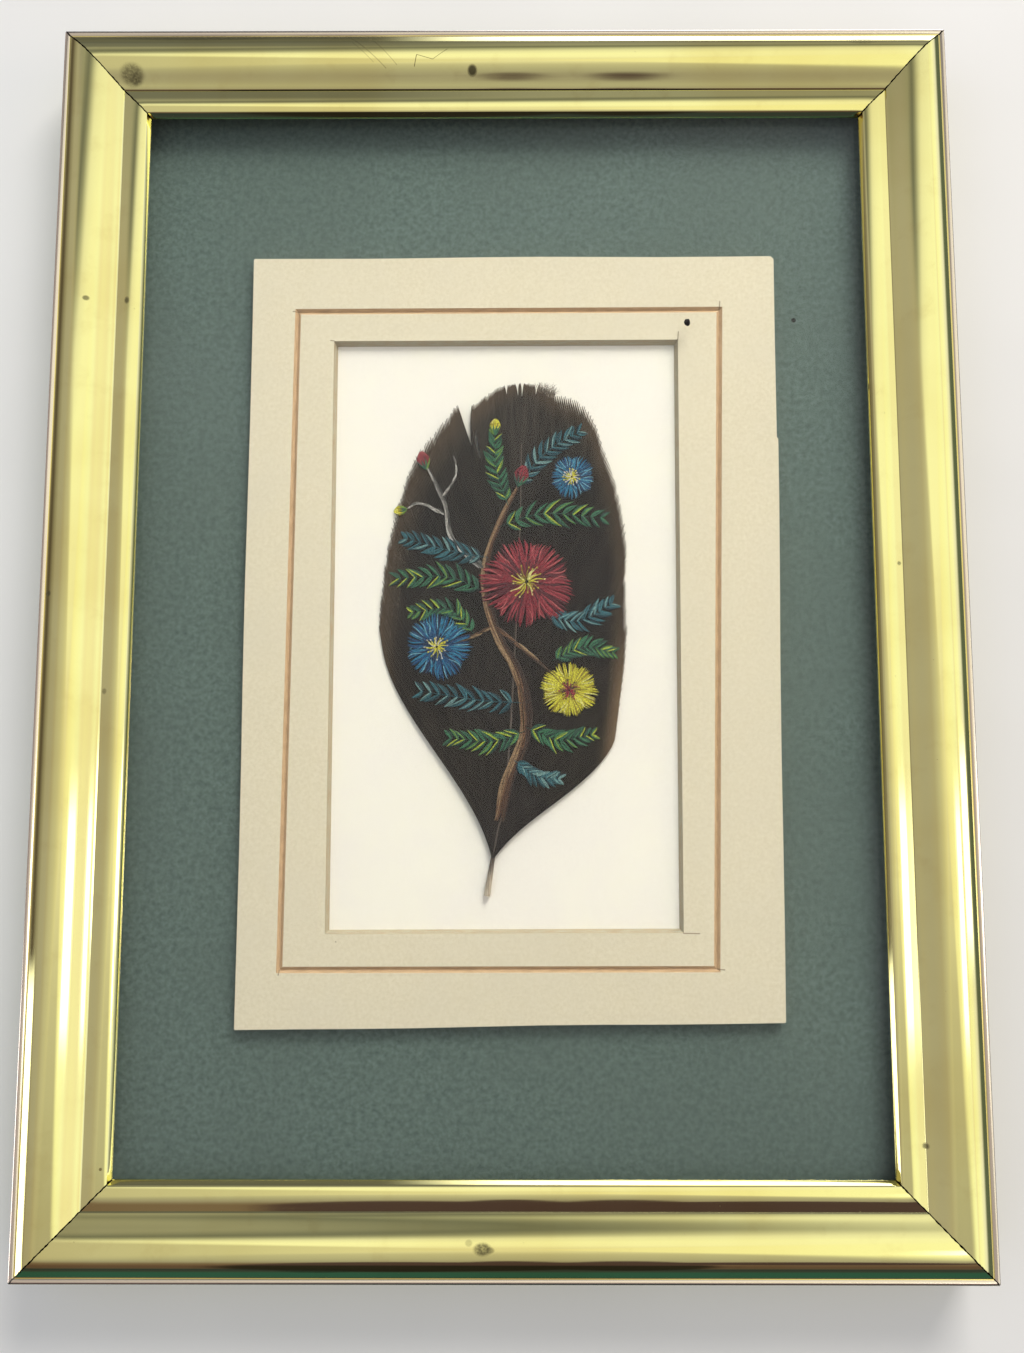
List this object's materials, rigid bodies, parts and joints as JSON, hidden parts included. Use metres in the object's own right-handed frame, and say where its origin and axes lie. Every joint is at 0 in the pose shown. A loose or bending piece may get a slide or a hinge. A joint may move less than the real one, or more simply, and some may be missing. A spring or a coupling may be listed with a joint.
{
  "type": "framed painted feather",
  "caption": "Broad dark feather with a painted spray of flowers, mounted on white card in a cream mat behind glass, in a small mitred brass picture frame lying on its back",
  "frame": {"origin": "centre of the back plane on which the frame rests", "axes": "+X to the right of the picture, +Y to the picture's top, +Z out of the picture's face"},
  "size_m": [0.144, 0.195, 0.0118],
  "materials": {
    "brass": "polished, slightly tarnished",
    "picture_glass": "clear float glass",
    "cream_board": "matt paper-faced board",
    "feather_vane": "dark barbs with paint",
    "white_card": "matt card",
    "green_board": "matt flecked board",
    "millboard": "plain grey-brown board"
  },
  "bodies": {
    "root": {"rail_top": "brass", "rail_bottom": "brass", "rail_left": "brass", "rail_right": "brass", "glass_pane": "picture_glass", "cream_mat": "cream_board", "feather": "feather_vane", "white_card": "white_card", "green_board": "green_board", "backing_board": "millboard", "retaining_tab_1": "brass", "retaining_tab_2": "brass", "retaining_tab_3": "brass", "retaining_tab_4": "brass", "retaining_tab_5": "brass", "retaining_tab_6": "brass"}
  },
  "joints": []
}
